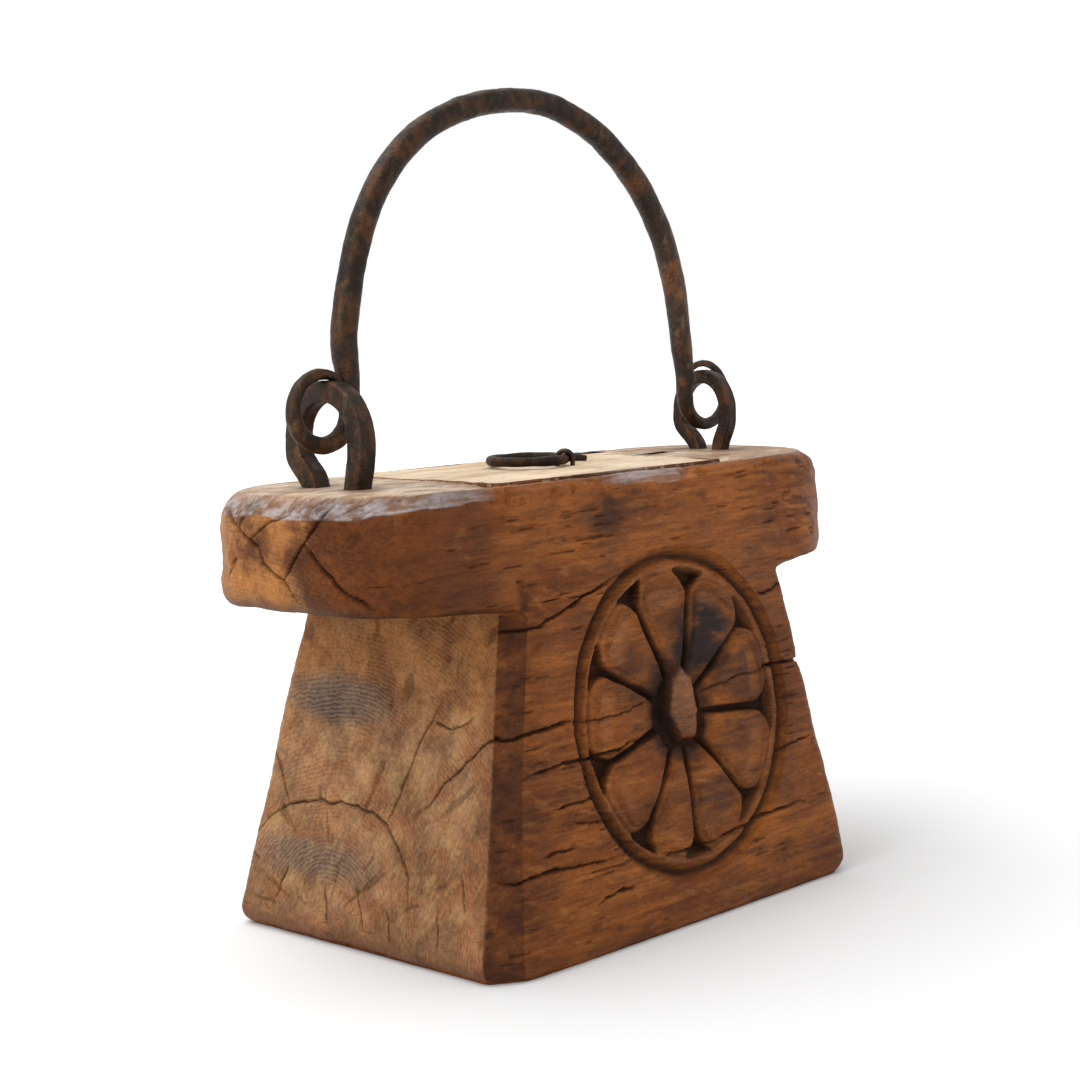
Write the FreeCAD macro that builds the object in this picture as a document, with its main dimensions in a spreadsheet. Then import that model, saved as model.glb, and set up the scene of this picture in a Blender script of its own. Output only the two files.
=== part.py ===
"""Donation box: a carved wooden block with a lift-out lid, a forged bail on two staples and a pull ring.

Frame: +Z up, +X along the length, the carved face looks towards -Y.
Origin: the middle of the flat base.  Millimetres.
"""
import FreeCAD, Part
import math
import os
import re
import Sketcher
from FreeCAD import Placement, Rotation, Vector

DIMENSIONS = {
    # carved block: a flared foot that carries a long head with rounded corners
    "base_length": 213,
    "base_depth": 147,
    "base_corner": 5,
    "base_front_corner": 11,
    "neck_height": 130,
    "neck_length": 159,
    "neck_front": 58,
    "neck_back": 53,
    "head_length": 293,
    "head_front_left": 40,
    "head_front_right": 55,
    "head_back_corner": 41,
    "total_height": 174,
    "head_edge_wear": 3,
    "base_edge_wear": 4.5,
    # lid recess, cavity and the two empty mortises beside the lid
    "lid_centre_x": -6.5,
    "lid_centre_y": -3,
    "lid_length": 127,
    "lid_depth": 82,
    "lid_thickness": 14,
    "lid_proud": 0.8,
    "lid_gap": 0.5,
    "lid_corner": 2,
    "ledge": 7,
    "floor_thickness": 26,
    "mortise_length": 16,
    "mortise_width": 5,
    "mortise_deep": 12,
    "mortise_one_x": 79,
    "mortise_one_y": 7,
    "mortise_two_x": 69,
    "mortise_two_y": 36,
    # carved flower
    "flower_x": 10,
    "flower_height": 80,
    "flower_radius": 63.5,
    "flower_groove": 7,
    "groove_deep": 4,
    "petal_count": 9,
    "petal_phase": -5,
    "spoke_inner": 15,
    "spoke_outer": 46,
    "spoke_width": 3,
    "spoke_deep": 4,
    "notch_outer": 54,
    "notch_inner": 42,
    "notch_width": 17,
    "notch_deep": 5,
    "boss_radius": 9,
    "boss_moat": 15,
    "moat_deep": 5,
    # forged staples that hold the bail
    "staple_spacing": 215,
    "pivot_height": 17,
    "pivot_y": 3.5,
    "staple_foot_back": 1,
    "staple_left_bar": 7.4,
    "staple_right_bar": 5.8,
    "staple_left_radius": 17,
    "staple_left_foot": 11.8,
    "staple_right_radius": 13.3,
    "staple_right_foot": 7.5,
    "staple_leg_depth": 28,
    "staple_tip_share": 0.8,
    # bail
    "bail_shift": -2.2,
    "bail_lean": 1.2,
    "bail_half_span": 95.25,
    "bail_crown": 131,
    "bail_spring": 41,
    "bail_side_radius": 75,
    "rod_diameter": 9.6,
    "eye_bar": 4.6,
    "eye_radius": 13.3,
    "eye_rise_left": 12,
    "eye_rise_right": 6.5,
    "eye_sweep": 312,
    "taper_length": 26,
    # pull ring and the split pin that holds it to the lid
    "ring_diameter": 33,
    "ring_bar": 3.8,
    "pin_x": 1.5,
    "pin_y": -11,
    "ring_heading": 133,
    "pin_strap_wide": 4,
    "pin_strap_thick": 1.5,
    "pin_gap": 0.25,
    "pin_clench": 8,
    "pin_tail_length": 6,
    "pin_tail_diameter": 3.2,
}

# Numbers that follow from the ones above, as sheet formulas.
DERIVED = {
    "lid_seat": "total_height + lid_proud - lid_thickness",
    "lid_top": "total_height + lid_proud",
    "pivot_level": "total_height + pivot_height",
    "head_top_front": "neck_front - (base_depth / 2 - neck_front) * (total_height / neck_height - 1)",
    "head_top_back": "neck_back - (base_depth / 2 - neck_back) * (total_height / neck_height - 1)",
    "front_tilt": "atan((base_depth / 2 - neck_front) / neck_height)",
    "ring_radius": "(ring_diameter - ring_bar) / 2",
    "crown_rise": "bail_crown - bail_spring - rod_diameter / 2",
}

doc = FreeCAD.newDocument("donation_box")
sheet = doc.addObject("Spreadsheet::Sheet", "Dims")


def fill_sheet():
    """Write every driving dimension and derived formula with its alias."""
    row = 1
    for name, value in DIMENSIONS.items():
        sheet.set(f"A{row}", name)
        sheet.set(f"B{row}", str(value))
        sheet.setAlias(f"B{row}", name)
        row += 1
    for name, formula in DERIVED.items():
        sheet.set(f"A{row}", name)
        sheet.set(f"B{row}", "=" + formula)
        sheet.setAlias(f"B{row}", name)
        row += 1
    doc.recompute()


def dim(name):
    """The present value of one cell as a plain number."""
    value = getattr(sheet, name)
    return float(getattr(value, "Value", value))


def cells(formula):
    """Point the words of a short formula at the sheet's cells."""
    known = DIMENSIONS.keys() | DERIVED.keys()
    return re.sub(r"[a-z_]+", lambda word: "Dims." + word[0] if word[0] in known else word[0], formula)


def bind(target, prop, formula):
    """Drive one property with a formula of sheet cells."""
    target.setExpression(prop, cells(formula))


def value_of(formula):
    """Work out a formula of sheet cells now, for first guesses in sketches."""
    value = sheet.evalExpression(cells(formula))
    return float(getattr(value, "Value", value))


def new_body(name, label):
    body = doc.addObject("PartDesign::Body", name)
    body.Label = label
    return body


def origin_plane(body, role):
    return next(f for f in body.Origin.OriginFeatures if f.Role == role)


def new_sketch(body, name, role="XY_Plane", lift=None, shift_x=None, shift_y=None, turn_x=None):
    """A sketch on an origin plane; lift, shifts and turn are formulas for its attachment offset."""
    sketch = body.newObject("Sketcher::SketchObject", name)
    sketch.AttachmentSupport = [(origin_plane(body, role), "")]
    sketch.MapMode = "FlatFace"
    if turn_x:
        sketch.AttachmentOffset = Placement(Vector(0, 0, 0), Rotation(Vector(1, 0, 0), 1))
        bind(sketch, "AttachmentOffset.Rotation.Angle", turn_x)
    for key, formula in (("x", shift_x), ("y", shift_y), ("z", lift)):
        if formula:
            bind(sketch, f"AttachmentOffset.Base.{key}", formula)
    doc.recompute()
    return sketch


def fix(sketch, kind, args, formula):
    """Add one dimensional constraint and bind it to the sheet."""
    index = sketch.addConstraint(Sketcher.Constraint(kind, *args, value_of(formula)))
    sketch.setExpression(f"Constraints[{index}]", cells(formula))


def fix_point(sketch, geo, pos, formula_x, formula_y):
    """Hold one point of the sketch at two formulas measured from its origin."""
    if formula_x == "0" and formula_y == "0":
        sketch.addConstraint(Sketcher.Constraint("Coincident", geo, pos, -1, 1))
        return
    if formula_x == "0":
        sketch.addConstraint(Sketcher.Constraint("PointOnObject", geo, pos, -2))
    else:
        fix(sketch, "DistanceX", (-1, 1, geo, pos), formula_x)
    if formula_y == "0":
        sketch.addConstraint(Sketcher.Constraint("PointOnObject", geo, pos, -1))
    else:
        fix(sketch, "DistanceY", (-1, 1, geo, pos), formula_y)


def add_polygon(sketch, corners):
    """A closed outline of straight lines through corners given as pairs of formulas."""
    points = [Vector(value_of(fx), value_of(fy), 0) for fx, fy in corners]
    first = sketch.GeometryCount
    count = len(points)
    for i in range(count):
        sketch.addGeometry(Part.LineSegment(points[i], points[(i + 1) % count]), False)
    for i in range(count):
        following = first + (i + 1) % count
        sketch.addConstraint(Sketcher.Constraint("Coincident", first + i, 2, following, 1))
    for i, (fx, fy) in enumerate(corners):
        fix_point(sketch, first + i, 1, fx, fy)


def add_circle(sketch, formula_x, formula_y, radius):
    """A circle held by its centre and radius."""
    centre = Vector(value_of(formula_x), value_of(formula_y), 0)
    geo = sketch.addGeometry(Part.Circle(centre, Vector(0, 0, 1), value_of(radius)), False)
    fix_point(sketch, geo, 3, formula_x, formula_y)
    fix(sketch, "Radius", (geo,), radius)


def add_rounded_rectangle(sketch, half_x, front, back, radii):
    """A rectangle from -half_x to +half_x and -front to +back, with rounded corners.

    radii is one formula, or four: front right, back right, back left and front left.
    """
    if isinstance(radii, str):
        radii = [radii] * 4
    x, lo, hi = value_of(half_x), -value_of(front), value_of(back)
    sides = [(1, lo, 1), (1, hi, -1), (-1, hi, -1), (-1, lo, 1)]
    arcs = []
    for turn, ((side_x, edge_y, inward), formula) in enumerate(zip(sides, radii)):
        r = value_of(formula)
        circle = Part.Circle(Vector(side_x * (x - r), edge_y + inward * r, 0), Vector(0, 0, 1), r)
        start = (turn - 1) * math.pi / 2
        arcs.append(sketch.addGeometry(Part.ArcOfCircle(circle, start, start + math.pi / 2), False))
    lines = []
    for i in range(4):
        a = sketch.Geometry[arcs[i]].EndPoint
        b = sketch.Geometry[arcs[(i + 1) % 4]].StartPoint
        lines.append(sketch.addGeometry(Part.LineSegment(a, b), False))
    for i in range(4):
        sketch.addConstraint(Sketcher.Constraint("Tangent", arcs[i], 2, lines[i], 1))
        sketch.addConstraint(Sketcher.Constraint("Tangent", lines[i], 2, arcs[(i + 1) % 4], 1))
    for i, kind in enumerate(("Vertical", "Horizontal", "Vertical", "Horizontal")):
        sketch.addConstraint(Sketcher.Constraint(kind, lines[i]))
    for arc, formula in zip(arcs, radii):
        fix(sketch, "Radius", (arc,), formula)
    fix(sketch, "DistanceX", (-1, 1, lines[0], 1), half_x)
    fix(sketch, "DistanceX", (-1, 1, lines[2], 1), f"-({half_x})")
    fix(sketch, "DistanceY", (-1, 1, lines[1], 1), back)
    fix(sketch, "DistanceY", (-1, 1, lines[3], 1), f"-({front})")


def loft(body, name, low, high):
    feature = body.newObject("PartDesign::AdditiveLoft", name)
    feature.Profile = low
    feature.Sections = [high]
    feature.Ruled = True
    doc.recompute()
    return feature


def pocket(body, name, sketch, depth, reverse=False):
    """Cut a sketch into the body and make sure that it took material away."""
    before = body.Shape.Volume
    feature = body.newObject("PartDesign::Pocket", name)
    feature.Profile = sketch
    feature.Type = 0
    feature.Reversed = reverse
    bind(feature, "Length", depth)
    doc.recompute()
    if body.Shape.Volume >= before - 1:
        raise RuntimeError(name + " cut nothing")
    return feature


def pipe(body, name, profile, path, corner="Transformed"):
    """Sweep a profile sketch along a path sketch."""
    feature = body.newObject("PartDesign::AdditivePipe", name)
    feature.Profile = profile
    feature.Spine = (path, [f"Edge{i + 1}" for i in range(path.GeometryCount)])
    feature.Mode = "Frenet"
    feature.Transition = corner
    doc.recompute()
    return feature


def edge_names(shape, wanted):
    """Names of the edges whose vertices all satisfy wanted(point)."""
    names = []
    for number, edge in enumerate(shape.Edges, 1):
        if all(wanted(vertex.Point) for vertex in edge.Vertexes):
            names.append(f"Edge{number}")
    return names


def round_edges(body, name, wanted, radius):
    """Fillet the chosen edges of the body's present tip."""
    tip = body.Tip
    feature = body.newObject("PartDesign::Fillet", name)
    feature.Base = (tip, edge_names(tip.Shape, wanted))
    bind(feature, "Radius", radius)
    doc.recompute()
    return feature


def make_block():
    """The one-piece carved block: foot, head, lid seat, cavity, mortises and flower."""
    body = new_body("block", "carved_block")
    foot_corners = ["base_front_corner", "base_corner", "base_corner", "base_front_corner"]
    base = new_sketch(body, "base_outline")
    add_rounded_rectangle(base, "base_length / 2", "base_depth / 2", "base_depth / 2", foot_corners)
    neck = new_sketch(body, "neck_outline", lift="neck_height")
    add_rounded_rectangle(neck, "neck_length / 2", "neck_front", "neck_back", foot_corners)
    loft(body, "foot", base, neck)
    head_corners = ["head_front_right", "head_back_corner", "head_back_corner", "head_front_left"]
    under = new_sketch(body, "head_under_outline", lift="neck_height")
    add_rounded_rectangle(under, "head_length / 2", "neck_front", "neck_back", head_corners)
    top = new_sketch(body, "head_top_outline", lift="total_height")
    add_rounded_rectangle(top, "head_length / 2", "head_top_front", "head_top_back", head_corners)
    loft(body, "head", under, top)

    near = 0.01
    top_level = dim("total_height")
    round_edges(body, "worn_top_edge", lambda p: abs(p.z - top_level) < near, "head_edge_wear")
    round_edges(body, "worn_base_edge", lambda p: abs(p.z) < near, "base_edge_wear")

    seat = new_sketch(body, "lid_seat_outline", lift="total_height",
                      shift_x="lid_centre_x", shift_y="lid_centre_y")
    add_rounded_rectangle(seat, "lid_length / 2 + lid_gap", "lid_depth / 2 + lid_gap",
                          "lid_depth / 2 + lid_gap", "lid_corner + lid_gap")
    pocket(body, "lid_seat", seat, "total_height - lid_seat")
    hollow = new_sketch(body, "cavity_outline", lift="lid_seat",
                        shift_x="lid_centre_x", shift_y="lid_centre_y")
    add_rounded_rectangle(hollow, "lid_length / 2 - ledge", "lid_depth / 2 - ledge",
                          "lid_depth / 2 - ledge", "lid_corner + ledge")
    pocket(body, "cavity", hollow, "lid_seat - floor_thickness")
    for word in ("one", "two"):
        slot = new_sketch(body, f"mortise_{word}_outline", lift="total_height",
                          shift_x=f"mortise_{word}_x", shift_y=f"mortise_{word}_y")
        add_rounded_rectangle(slot, "mortise_width / 2", "mortise_length / 2",
                              "mortise_length / 2", "mortise_width / 3")
        pocket(body, f"mortise_{word}", slot, "mortise_deep")
    carve_flower(body)
    return body


def flower_sketch(body, name):
    """A sketch on the leaning front face, with its origin at the flower's centre."""
    return new_sketch(body, name, role="XZ_Plane", shift_x="flower_x", shift_y="flower_height",
                      lift="base_depth / 2 - flower_height * tan(front_tilt)", turn_x="-front_tilt")


def spoke_pattern(body, name, feature, sketch):
    """Repeat one cut for each petal around the flower's centre."""
    before = body.Shape.Volume
    pattern = body.newObject("PartDesign::PolarPattern", name)
    pattern.Originals = [feature]
    pattern.Axis = (sketch, ["N_Axis"])
    pattern.Angle = 360
    bind(pattern, "Occurrences", "petal_count")
    body.Tip = pattern
    doc.recompute()
    if body.Shape.Volume >= before - 1:
        raise RuntimeError(name + " cut nothing")


def turned(angle, along, across):
    """Formulas for a point given along and across a spoke at an angle."""
    fx = f"({along}) * cos(1deg * ({angle})) - ({across}) * sin(1deg * ({angle}))"
    fy = f"({along}) * sin(1deg * ({angle})) + ({across}) * cos(1deg * ({angle}))"
    return fx, fy


def carve_flower(body):
    """Round groove, moat about the centre boss, and a groove and chip notch between petals."""
    groove = flower_sketch(body, "groove_outline")
    add_circle(groove, "0", "0", "flower_radius")
    add_circle(groove, "0", "0", "flower_radius - flower_groove")
    pocket(body, "flower_groove_cut", groove, "groove_deep")
    moat = flower_sketch(body, "moat_outline")
    add_circle(moat, "0", "0", "boss_moat")
    add_circle(moat, "0", "0", "boss_radius")
    pocket(body, "boss_moat_cut", moat, "moat_deep")
    spoke = flower_sketch(body, "spoke_outline")
    add_polygon(spoke, [turned("petal_phase", "spoke_inner - 2", "-spoke_width / 2"),
                        turned("petal_phase", "spoke_outer", "-spoke_width / 2"),
                        turned("petal_phase", "spoke_outer", "spoke_width / 2"),
                        turned("petal_phase", "spoke_inner - 2", "spoke_width / 2")])
    first = pocket(body, "spoke_cut", spoke, "spoke_deep")
    spoke_pattern(body, "spokes", first, spoke)
    notch = flower_sketch(body, "notch_outline")
    add_polygon(notch, [turned("petal_phase", "notch_inner", "0 * notch_width"),
                        turned("petal_phase", "notch_outer", "-notch_width / 2"),
                        turned("petal_phase", "notch_outer", "notch_width / 2")])
    first = pocket(body, "notch_cut", notch, "notch_deep")
    spoke_pattern(body, "notches", first, notch)


def make_staple(side, word):
    """A square bar bent to an arch about the bail's axis, its legs drawn together into the wood."""
    body = new_body(f"staple_{word}", f"{word}_staple")
    bind(body, "Placement.Base.x", f"{side} * staple_spacing / 2")
    bind(body, "Placement.Base.y", "pivot_y")
    bind(body, "Placement.Base.z", "pivot_level")
    radius = f"staple_{word}_radius"
    foot = f"staple_{word}_foot"
    tip = f"({foot}) * staple_tip_share"
    path = new_sketch(body, f"{word}_staple_path", role="YZ_Plane")
    r, low, deep = dim(radius), -dim("pivot_height"), -dim("pivot_height") - dim("staple_leg_depth")
    back = dim("pivot_y") - dim("staple_foot_back")
    arc = path.addGeometry(Part.ArcOfCircle(Part.Circle(Vector(0, 0, 0), Vector(0, 0, 1), r),
                                            0, math.pi), False)
    path.addConstraint(Sketcher.Constraint("Coincident", arc, 3, -1, 1))
    fix(path, "Radius", (arc,), radius)
    path.addConstraint(Sketcher.Constraint("PointOnObject", arc, 1, -1))
    path.addConstraint(Sketcher.Constraint("PointOnObject", arc, 2, -1))
    for sign, end in ((1, 1), (-1, 2)):
        knee = Vector(sign * dim(foot) - back, low, 0)
        point = Vector(sign * value_of(tip) - back, deep, 0)
        leg = path.addGeometry(Part.LineSegment(Vector(sign * r, 0, 0), knee), False)
        root = path.addGeometry(Part.LineSegment(knee, point), False)
        path.addConstraint(Sketcher.Constraint("Coincident", arc, end, leg, 1))
        path.addConstraint(Sketcher.Constraint("Coincident", leg, 2, root, 1))
        fix_point(path, leg, 2, f"{sign} * {foot} - pivot_y + staple_foot_back", "-pivot_height")
        fix_point(path, root, 2, f"{sign} * {tip} - pivot_y + staple_foot_back",
                  "-(pivot_height + staple_leg_depth)")
    section = new_sketch(body, f"{word}_staple_section", role="XZ_Plane")
    add_square_profile(section, radius, f"staple_{word}_bar")
    pipe(body, f"{word}_staple_bar", section, path)
    return body


def add_square_profile(section, radius, size):
    """The bar's section at the crown of the arch, softened at its corners."""
    half = f"{size} / 2"
    low = f"{radius} - {half}"
    high = f"{radius} + {half}"
    cut = f"{size} / 8"
    add_polygon(section, [(f"-({half} - {cut})", low), (f"{half} - {cut}", low),
                          (half, f"{low} + {cut}"), (half, f"{high} - {cut}"),
                          (f"{half} - {cut}", high), (f"-({half} - {cut})", high),
                          (f"-({half})", f"{high} - {cut}"), (f"-({half})", f"{low} + {cut}")])


# Height of the crown arc's centre above the side arcs' centres, from tangency of the three arcs.
CROWN_DROP = ("crown_rise - ((bail_half_span - bail_side_radius)^2 + crown_rise^2 - bail_side_radius^2)"
              " / (2 * (crown_rise - bail_side_radius))")


def make_bail():
    """A round rod over three arcs; each end tapers and curls outward into an eye."""
    body = new_body("bail", "bail_handle")
    bind(body, "Placement.Base.x", "bail_shift")
    bind(body, "Placement.Base.y", "pivot_y")
    bind(body, "Placement.Base.z", "pivot_level")
    body.Placement = Placement(body.Placement.Base, Rotation(Vector(1, 0, 0), -1))
    bind(body, "Placement.Rotation.Angle", "-bail_lean")
    path = new_sketch(body, "bail_path", role="XZ_Plane")
    span, spring, side = dim("bail_half_span"), dim("bail_spring"), dim("bail_side_radius")
    rise, low = dim("crown_rise"), dim("eye_rise_left") + dim("taper_length")
    top = ((span - side) ** 2 + rise ** 2 - side ** 2) / (2 * (rise - side))
    top_centre = Vector(0, spring + rise - top, 0)
    lean = math.atan2(spring - top_centre.y, span - side)
    up = Vector(0, 0, 1)

    def arc(centre, radius, start, end):
        return path.addGeometry(Part.ArcOfCircle(Part.Circle(centre, up, radius), start, end), False)

    right_leg = path.addGeometry(Part.LineSegment(Vector(span, low, 0), Vector(span, spring, 0)), False)
    right_arc = arc(Vector(span - side, spring, 0), side, 0, lean)
    crown = arc(top_centre, top, lean, math.pi - lean)
    left_arc = arc(Vector(side - span, spring, 0), side, math.pi - lean, math.pi)
    left_leg = path.addGeometry(Part.LineSegment(Vector(-span, spring, 0), Vector(-span, low, 0)), False)
    chain = [right_leg, right_arc, crown, left_arc, left_leg]
    for one, two in zip(chain, chain[1:]):
        path.addConstraint(Sketcher.Constraint("Tangent", one, 2, two, 1))
    path.addConstraint(Sketcher.Constraint("Vertical", right_leg))
    path.addConstraint(Sketcher.Constraint("Vertical", left_leg))
    path.addConstraint(Sketcher.Constraint("Equal", right_arc, left_arc))
    path.addConstraint(Sketcher.Constraint("PointOnObject", crown, 3, -2))
    fix(path, "Radius", (right_arc,), "bail_side_radius")
    fix_point(path, right_leg, 2, "bail_half_span", "bail_spring")
    fix(path, "DistanceX", (-1, 1, left_arc, 2), "-bail_half_span")
    fix(path, "DistanceY", (-1, 1, right_leg, 1), "eye_rise_right + taper_length")
    fix(path, "DistanceY", (-1, 1, left_leg, 2), "eye_rise_left + taper_length")
    path.addConstraint(Sketcher.Constraint("DistanceY", right_arc, 3, crown, 3,
                                           top_centre.y - spring))
    path.setExpression(f"Constraints[{path.ConstraintCount - 1}]", cells(CROWN_DROP))
    section = new_sketch(body, "rod_section", lift="eye_rise_right + taper_length")
    add_circle(section, "bail_half_span", "0", "rod_diameter / 2")
    pipe(body, "bail_rod", section, path)
    for sign, word in ((-1, "left"), (1, "right")):
        add_eye(body, sign, word)
    return body


def add_eye(body, sign, word):
    """A tapered end of the rod and the open eye that hooks the staple."""
    rise = f"eye_rise_{word}"
    leg_x = f"{sign} * bail_half_span"
    thick = new_sketch(body, f"{word}_taper_top", lift=f"{rise} + taper_length")
    add_circle(thick, leg_x, "0", "rod_diameter / 2")
    thin = new_sketch(body, f"{word}_taper_end", lift=rise)
    add_circle(thin, leg_x, "0", "eye_bar / 2")
    loft(body, f"{word}_taper", thick, thin)
    path = new_sketch(body, f"{word}_eye_path", role="XZ_Plane",
                      shift_x=f"{sign} * (bail_half_span + eye_radius)", shift_y=rise)
    sweep = math.radians(dim("eye_sweep"))
    circle = Part.Circle(Vector(0, 0, 0), Vector(0, 0, 1), dim("eye_radius"))
    if sign < 0:
        start, end, first = -sweep, 0, 2
    else:
        start, end, first = math.pi, math.pi + sweep, 1
    eye = path.addGeometry(Part.ArcOfCircle(circle, start, end), False)
    path.addConstraint(Sketcher.Constraint("Coincident", eye, 3, -1, 1))
    fix(path, "Radius", (eye,), "eye_radius")
    path.addConstraint(Sketcher.Constraint("PointOnObject", eye, first, -1))
    tip = f"-{sign} * eye_radius * cos(1deg * eye_sweep)"
    fix(path, "DistanceX", (-1, 1, eye, 3 - first), tip)
    section = new_sketch(body, f"{word}_eye_section", lift=rise)
    add_circle(section, leg_x, "0", "eye_bar / 2")
    pipe(body, f"{word}_eye", section, path)


def make_lid():
    """A loose board that drops into the seat and stands a little proud."""
    body = new_body("lid_board", "lid_blank")
    bind(body, "Placement.Base.x", "lid_centre_x")
    bind(body, "Placement.Base.y", "lid_centre_y")
    bind(body, "Placement.Base.z", "lid_seat")
    outline = new_sketch(body, "lid_outline")
    add_rounded_rectangle(outline, "lid_length / 2", "lid_depth / 2", "lid_depth / 2", "lid_corner")
    board = body.newObject("PartDesign::Pad", "lid_pad")
    board.Profile = outline
    bind(board, "Length", "lid_thickness")
    doc.recompute()
    top = dim("lid_thickness")
    round_edges(body, "lid_top_edge", lambda p: abs(p.z - top) < 0.01, "lid_proud / 2")
    return body


def make_ring():
    """The pull ring, lying on the lid beside its pin."""
    ring = doc.addObject("Part::Torus", "ring")
    ring.Label = "pull_ring"
    bind(ring, "Radius1", "ring_radius")
    bind(ring, "Radius2", "ring_bar / 2")
    bind(ring, "Placement.Base.x", "pin_x + ring_radius * cos(1deg * ring_heading)")
    bind(ring, "Placement.Base.y", "pin_y + ring_radius * sin(1deg * ring_heading)")
    bind(ring, "Placement.Base.z", "lid_top + ring_bar / 2 + pin_gap")
    doc.recompute()
    return ring


def make_pin():
    """A strap folded over the ring, driven through the lid and clenched underneath."""
    body = new_body("split_pin", "ring_pin")
    body.Placement = Placement(Vector(0, 0, 0), Rotation(Vector(0, 0, 1), 1))
    bind(body, "Placement.Base.x", "pin_x")
    bind(body, "Placement.Base.y", "pin_y")
    bind(body, "Placement.Base.z", "lid_top + ring_bar / 2 + pin_gap")
    bind(body, "Placement.Rotation.Angle", "ring_heading")
    bend = "(ring_bar / 2 + pin_gap + pin_strap_thick / 2)"
    drop = "(ring_bar / 2 + pin_gap + lid_thickness + pin_strap_thick / 2)"
    path = new_sketch(body, "pin_path", role="XZ_Plane")
    r, low, reach = value_of(bend), -value_of(drop), value_of(bend) + dim("pin_clench")
    circle = Part.Circle(Vector(0, 0, 0), Vector(0, 0, 1), r)
    arch = path.addGeometry(Part.ArcOfCircle(circle, 0, math.pi), False)
    path.addConstraint(Sketcher.Constraint("Coincident", arch, 3, -1, 1))
    fix(path, "Radius", (arch,), bend)
    path.addConstraint(Sketcher.Constraint("PointOnObject", arch, 1, -1))
    path.addConstraint(Sketcher.Constraint("PointOnObject", arch, 2, -1))
    for sign, end in ((1, 1), (-1, 2)):
        leg = path.addGeometry(Part.LineSegment(Vector(sign * r, 0, 0), Vector(sign * r, low, 0)), False)
        foot = path.addGeometry(Part.LineSegment(Vector(sign * r, low, 0),
                                                 Vector(sign * reach, low, 0)), False)
        path.addConstraint(Sketcher.Constraint("Coincident", arch, end, leg, 1))
        path.addConstraint(Sketcher.Constraint("Coincident", leg, 2, foot, 1))
        path.addConstraint(Sketcher.Constraint("Vertical", leg))
        path.addConstraint(Sketcher.Constraint("Horizontal", foot))
        fix(path, "DistanceY", (-1, 1, leg, 2), "-" + drop)
        fix(path, "DistanceX", (-1, 1, foot, 2), f"{sign} * ({bend} + pin_clench)")
    section = new_sketch(body, "pin_section", role="YZ_Plane")
    half, thick = "pin_strap_wide / 2", "pin_strap_thick / 2"
    add_polygon(section, [(f"-{half}", f"{bend} - {thick}"), (half, f"{bend} - {thick}"),
                          (half, f"{bend} + {thick}"), (f"-{half}", f"{bend} + {thick}")])
    pipe(body, "pin_strap", section, path, "Right corner")
    tail = new_sketch(body, "pin_tail_section", role="YZ_Plane", lift=f"-({bend})")
    add_circle(tail, "0", "-(ring_bar / 2 + pin_gap - pin_tail_diameter / 2)", "pin_tail_diameter / 2")
    stub = body.newObject("PartDesign::Pad", "pin_tail")
    stub.Profile = tail
    stub.Reversed = True
    bind(stub, "Length", "pin_tail_length")
    doc.recompute()
    return body


def cut_by(name, label, base, tools):
    """The base with the tools' shapes taken out, so that each tool sits tight in its own hole."""
    tool = tools[0]
    if len(tools) > 1:
        tool = doc.addObject("Part::MultiFuse", name + "_tools")
        tool.Shapes = tools
    cut = doc.addObject("Part::Cut", name)
    cut.Base = base
    cut.Tool = tool
    cut.Label = label
    doc.recompute()
    return cut


def check_document():
    """Stop if any object failed to build."""
    for item in doc.Objects:
        if "Invalid" in item.State or "Error" in item.State:
            raise RuntimeError(f"{item.Name} is {item.State}")


def write_parts(parts):
    os.makedirs("parts", exist_ok=True)
    for part in parts:
        shape = part.Shape
        if shape.isNull() or not shape.isValid():
            raise RuntimeError(part.Label + " has no valid shape")
        shape.exportStep(f"parts/{part.Label}.step")
        box = shape.optimalBoundingBox(False, False)
        print(f"{part.Label}: {len(shape.Solids)} solid, {shape.Volume / 1000:.1f} cm3,"
              f" x {box.XMin:.1f} to {box.XMax:.1f}, y {box.YMin:.1f} to {box.YMax:.1f},"
              f" z {box.ZMin:.1f} to {box.ZMax:.1f}")


def main():
    fill_sheet()
    staples = [make_staple(-1, "left"), make_staple(1, "right")]
    box = cut_by("box", "box_body", make_block(), staples)
    pin = make_pin()
    lid = cut_by("lid", "lid", make_lid(), [pin])
    ring = make_ring()
    bail = make_bail()
    doc.recompute()
    check_document()
    write_parts([box, lid, bail, *staples, ring, pin])


main()
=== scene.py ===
"""Donation box: dense carved-wood and forged-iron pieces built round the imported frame."""

import math

import bpy
import numpy as np
from mathutils import Matrix, Vector


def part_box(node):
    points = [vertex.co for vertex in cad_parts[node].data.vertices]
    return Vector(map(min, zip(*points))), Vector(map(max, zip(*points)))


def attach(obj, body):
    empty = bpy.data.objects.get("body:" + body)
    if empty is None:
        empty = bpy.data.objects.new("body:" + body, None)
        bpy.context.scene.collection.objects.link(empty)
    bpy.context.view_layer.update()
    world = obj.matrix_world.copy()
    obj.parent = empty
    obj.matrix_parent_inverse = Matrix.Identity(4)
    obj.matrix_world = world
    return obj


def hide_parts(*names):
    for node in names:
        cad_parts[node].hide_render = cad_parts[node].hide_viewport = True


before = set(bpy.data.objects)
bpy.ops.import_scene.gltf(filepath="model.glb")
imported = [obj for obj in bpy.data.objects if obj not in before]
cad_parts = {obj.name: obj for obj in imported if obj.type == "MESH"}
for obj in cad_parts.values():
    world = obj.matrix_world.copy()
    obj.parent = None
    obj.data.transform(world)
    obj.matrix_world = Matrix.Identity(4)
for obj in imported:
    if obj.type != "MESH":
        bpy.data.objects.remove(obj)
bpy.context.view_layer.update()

MM = 0.001
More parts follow.
